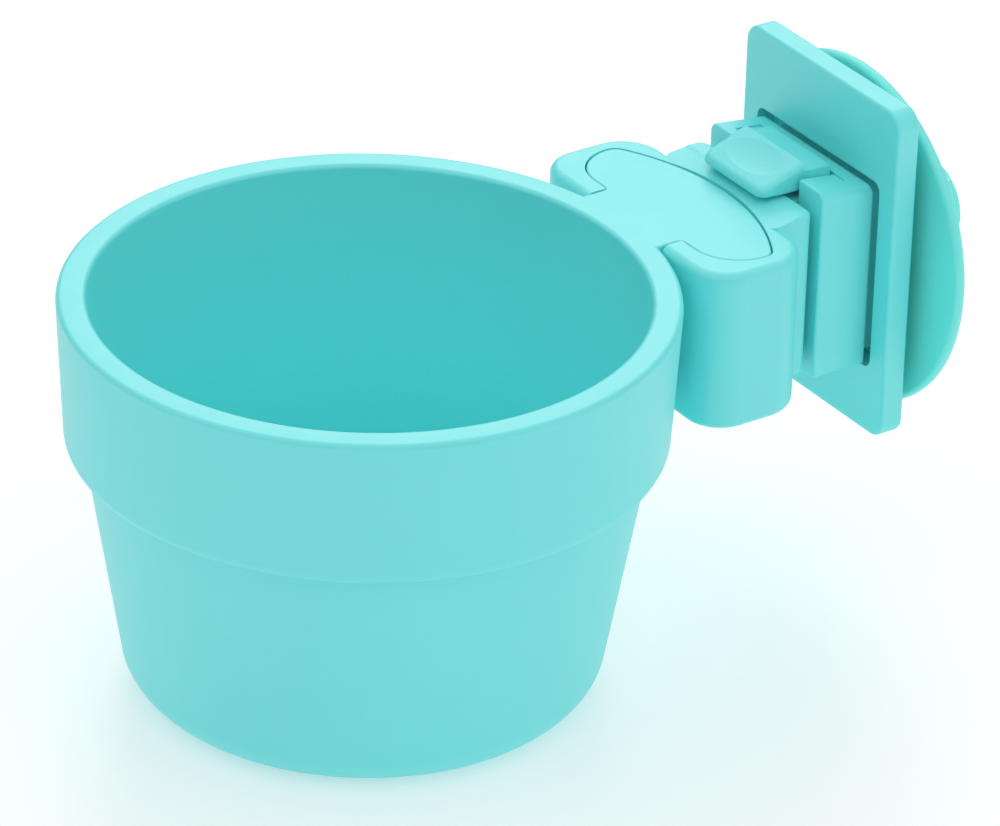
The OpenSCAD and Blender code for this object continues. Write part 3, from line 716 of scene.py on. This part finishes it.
# %% Clamp disc
DISC_FRONT, DISC_BACK, DISC_R, HUB_R, HUB_BACK = 2.6, 4.6, 30.2, 11, 6.8
RIBS, RIB_HALF, RIB_TOP, RIB_END = 8, 0.8, 6.36, 27.18
disc = along_y(turned([
    (BOLT_HOLE, DISC_FRONT, 0), (DISC_R, DISC_FRONT, 0.9), (DISC_R, DISC_BACK, 0.9),
    (HUB_R, DISC_BACK, 0.3), (HUB_R, HUB_BACK, 0.5), (BOLT_HOLE, HUB_BACK, 0),
    (BOLT_HOLE, DISC_FRONT, 0)], steps=180))
for i in range(RIBS):
    rib = block(span(RIB_HALF), (4, RIB_TOP), (5.5, RIB_END))
    slice_off(rib, (0, RIB_TOP, HUB_R), (0, RIB_END - HUB_R, RIB_TOP - DISC_BACK))
    soften(rib, lambda e: max(v.co.y for v in e.verts) > 4.1 and not runs(e, "X")
           and not runs(e, "Y"), 0.25, 2)
    step = Matrix.Rotation(2 * math.pi * i / RIBS, 3, "Y")
    bmesh.ops.rotate(rib, verts=rib.verts, matrix=step)
    disc = combine(disc, rib)
finished("clamp_disc", on_bolt(disc), "disc", "clamp_disc", clamp_mint)

# %% [markdown]
# ## The clamp knob
# The knob turns on the bolt and pushes the disc along. It is turned, with a collar at its foot and
# a soft end. Twelve grooves for the fingers are cut round it with round bars that lie mostly
# outside it, which leaves shallow flutes with crisp ridges between them.

# %% Clamp knob
KNOB_FOOT, KNOB_END, KNOB_R, KNOB_WALL, COLLAR_TOP, COLLAR_R = 6.9, 20.8, 8.1, 1.4, 9.8, 10.66
GROOVES, GROOVE_R, GROOVE_OUT = 12, 1.68, 1.01
knob = along_y(turned([
    (0, KNOB_END - KNOB_WALL, 0), (BOLT_HOLE, KNOB_END - KNOB_WALL, 0), (BOLT_HOLE, KNOB_FOOT, 0),
    (COLLAR_R, KNOB_FOOT, 0.33), (COLLAR_R, COLLAR_TOP, 0.33), (KNOB_R, COLLAR_TOP, 0.25),
    (KNOB_R, KNOB_END, 1.34), (0, KNOB_END, 0)], steps=180))
for i in range(GROOVES):
    groove = bar("Y", COLLAR_TOP + 0.02, 25, GROOVE_R, (0, KNOB_R + GROOVE_OUT))
    step = Matrix.Rotation(2 * math.pi * i / GROOVES, 3, "Y")
    bmesh.ops.rotate(groove, verts=groove.verts, matrix=step)
    knob = cut(knob, groove)
finished("clamp_knob", on_bolt(knob), "knob", "clamp_knob", clamp_mint)

# %% [markdown]
# ## The floor
# The photograph has no floor to see, only white. A plain pale plane just under the cup's foot
# carries its soft shadow. A small glow keeps it as white as the photograph without more light on
# the cup, because light that a bright floor throws back would wash out the cup's walls.

# %% Floor
FLOOR_DROP, FLOOR_GLOW = 0.00005, 0.355
ground = bmesh.new()
bmesh.ops.create_grid(ground, x_segments=1, y_segments=1, size=4)
bmesh.ops.translate(ground, vec=(0, 0, CUP_BASE_Z * MM - FLOOR_DROP), verts=ground.verts)
floor = as_object("floor", ground)
pale = bpy.data.materials.new("pale floor")
pale.use_nodes = True
surface = pale.node_tree.nodes["Principled BSDF"]
surface.inputs["Base Color"].default_value = (0.7, 0.7, 0.7, 1)
surface.inputs["Roughness"].default_value = 0.5
surface.inputs["Specular IOR Level"].default_value = 0.8
surface.inputs["Emission Color"].default_value = (1, 1, 1, 1)
surface.inputs["Emission Strength"].default_value = FLOOR_GLOW
floor.data.materials.append(pale)
print("floor at", round(CUP_BASE_Z - FLOOR_DROP / MM, 2), "mm")

# %% [markdown]
# ## The light tent
# The photograph has the look of a light tent: white cloth all round and above. A dome of area lights
# could give that, but the world does it with one colour ramp over height. It is dim from the floor
# up to 20 degrees, so that the cup's outer walls stay deep in tone, and bright from 25 degrees up,
# where it shines into the bowl. The height is the upward part of the direction, so 0.43 is the sine
# of 25 degrees. The standard display curve keeps the plastic's own colour, where a film-like curve
# would grey it.

# %% Light tent
TENT = ((0.0, 0.32), (0.34, 0.05), (0.43, 1.0), (1.0, 0.95))
tent = bpy.data.worlds.new("light tent")
tent.use_nodes = True
toward = tent.node_tree.nodes.new("ShaderNodeTexCoord").outputs["Generated"]
height = tent.node_tree.nodes.new("ShaderNodeSeparateXYZ")
tent.node_tree.links.new(toward, height.inputs[0])
white = ramp(tent.node_tree, height.outputs["Z"], [(place, (grey,) * 3) for place, grey in TENT])
tent.node_tree.links.new(white, tent.node_tree.nodes["Background"].inputs["Color"])
bpy.context.scene.world = tent
bpy.context.scene.view_settings.view_transform = "Standard"
print("the tent is bright from", round(math.degrees(math.asin(TENT[2][0]))), "degrees up")

# %% [markdown]
# ## Two softboxes
# A tent alone lights everything evenly. A wide round softbox behind the cup, in the direction that
# the flat tops mirror towards the camera, gives the rim and the tongue their whitish sheen. A weak
# one on the right lifts the plate's near edge.


# %% Softboxes
def softbox(name, place, aim, size, power):
    lamp = bpy.data.lights.new(name, "AREA")
    lamp.shape, lamp.size, lamp.energy = "DISK", size, power
    thing = bpy.data.objects.new(name, lamp)
    bpy.context.scene.collection.objects.link(thing)
    thing.location = place
    thing.rotation_euler = (Vector(aim) - Vector(place)).to_track_quat("-Z", "Y").to_euler()
    print("softbox", name, power, "W,", round(Vector(place).length, 2), "m away")


softbox("behind", (-1.15, 0.75, 0.76), (0, -0.07, 0), 0.9, 3.5)
softbox("right", (0.8, 0.5, 0.12), (0, -0.05, -0.01), 0.6, 0.6)
